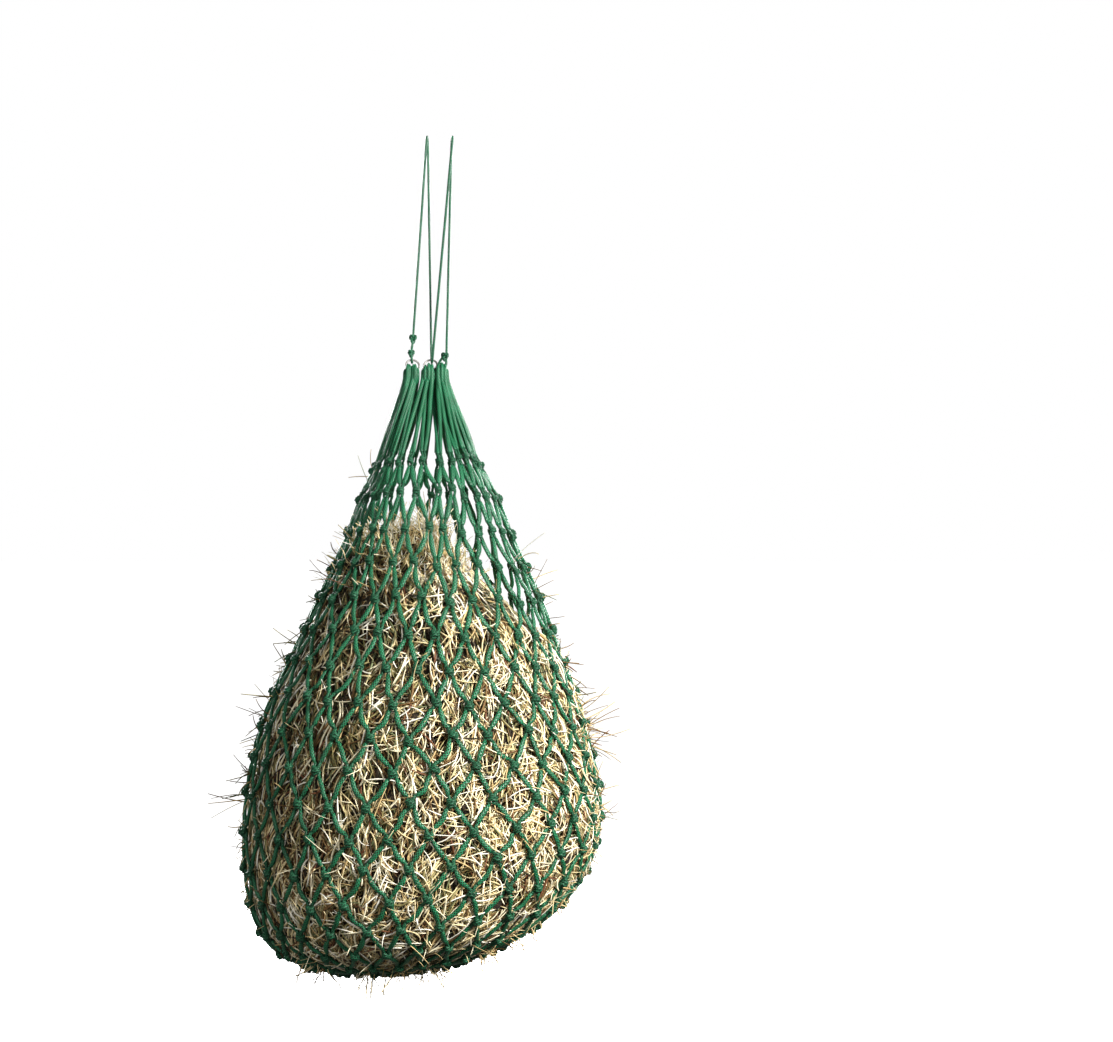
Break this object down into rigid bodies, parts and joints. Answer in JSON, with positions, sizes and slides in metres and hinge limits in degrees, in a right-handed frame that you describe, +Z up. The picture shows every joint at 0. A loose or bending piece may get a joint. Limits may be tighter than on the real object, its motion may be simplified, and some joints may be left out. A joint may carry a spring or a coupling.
{
  "type": "hay net",
  "caption": "Hay-filled knotted cord net with long top loops gathered on steel rings and hung from a looped drawstring.",
  "frame": {"origin": "middle of the two bights of the drawstring, on the cord's centre line where it crosses the hanging rail", "axes": "+Z up, +X to the right along the hanging rail, -Y towards the viewer"},
  "size_m": [0.4906, 0.5194, 1.0485],
  "materials": {
    "net_cord": "braided polypropylene cord, slightly glossy",
    "net_knots": "tight netting knots of the same cord",
    "drawstring_cord": "thin braided polypropylene cord",
    "ring_wire": "plated steel wire",
    "hay_core": "packed dry hay",
    "hay_stalks": "dry stalks"
  },
  "bodies": {
    "drawstring": {"drawstring": "drawstring_cord", "drawstring_knot_upper": "drawstring_cord", "drawstring_knot_lower": "drawstring_cord", "drawstring_eye_knot": "drawstring_cord"},
    "ring_left": {"ring_left": "ring_wire"},
    "ring_centre": {"ring_centre": "ring_wire"},
    "net": {"base_gather": "net_knots", "collar_strands_back_right": "net_cord", "collar_strands_front_right": "net_cord", "collar_strands_left": "net_cord", "hay_core": "hay_core", "hay_stalks": "hay_stalks", "loop_bunch_centre": "net_cord", "loop_bunch_left": "net_cord", "loop_bunch_right": "net_cord", "net_knots_01": "net_knots", "net_knots_02": "net_knots", "net_knots_03": "net_knots", "net_knots_04": "net_knots", "net_knots_05": "net_knots", "net_knots_06": "net_knots", "net_knots_07": "net_knots", "net_knots_08": "net_knots", "net_knots_09": "net_knots", "net_knots_10": "net_knots", "net_knots_11": "net_knots", "net_knots_12": "net_knots", "net_knots_13": "net_knots", "net_knots_14": "net_knots", "net_knots_15": "net_knots", "net_knots_16": "net_knots", "net_knots_17": "net_knots", "net_knots_18": "net_knots", "net_round_01": "net_cord", "net_round_02": "net_cord", "net_round_03": "net_cord", "net_round_04": "net_cord", "net_round_05": "net_cord", "net_round_06": "net_cord", "net_round_07": "net_cord", "net_round_08": "net_cord", "net_round_09": "net_cord", "net_round_10": "net_cord", "net_round_11": "net_cord", "net_round_12": "net_cord", "net_round_13": "net_cord", "net_round_14": "net_cord", "net_round_15": "net_cord", "net_round_16": "net_cord", "net_round_17": "net_cord", "net_round_18": "net_cord"}
  },
  "joints": [
    {"name": "bag_swing", "type": "hinge", "parent": "drawstring", "child": "net", "pos_m": [-0.012, 0, -0.292], "axis": [1, 0, 0], "range_deg": [-20, 20]},
    {"name": "ring_left_turn", "type": "hinge", "parent": "drawstring", "child": "ring_left", "pos_m": [-0.03283, 0.00469, -0.2852], "axis": [0.1422, -0.8067, 0.5736], "continuous": true},
    {"name": "ring_centre_turn", "type": "hinge", "parent": "drawstring", "child": "ring_centre", "pos_m": [-0.01067, 0.00469, -0.2852], "axis": [-0.1422, -0.8067, 0.5736], "continuous": true}
  ]
}
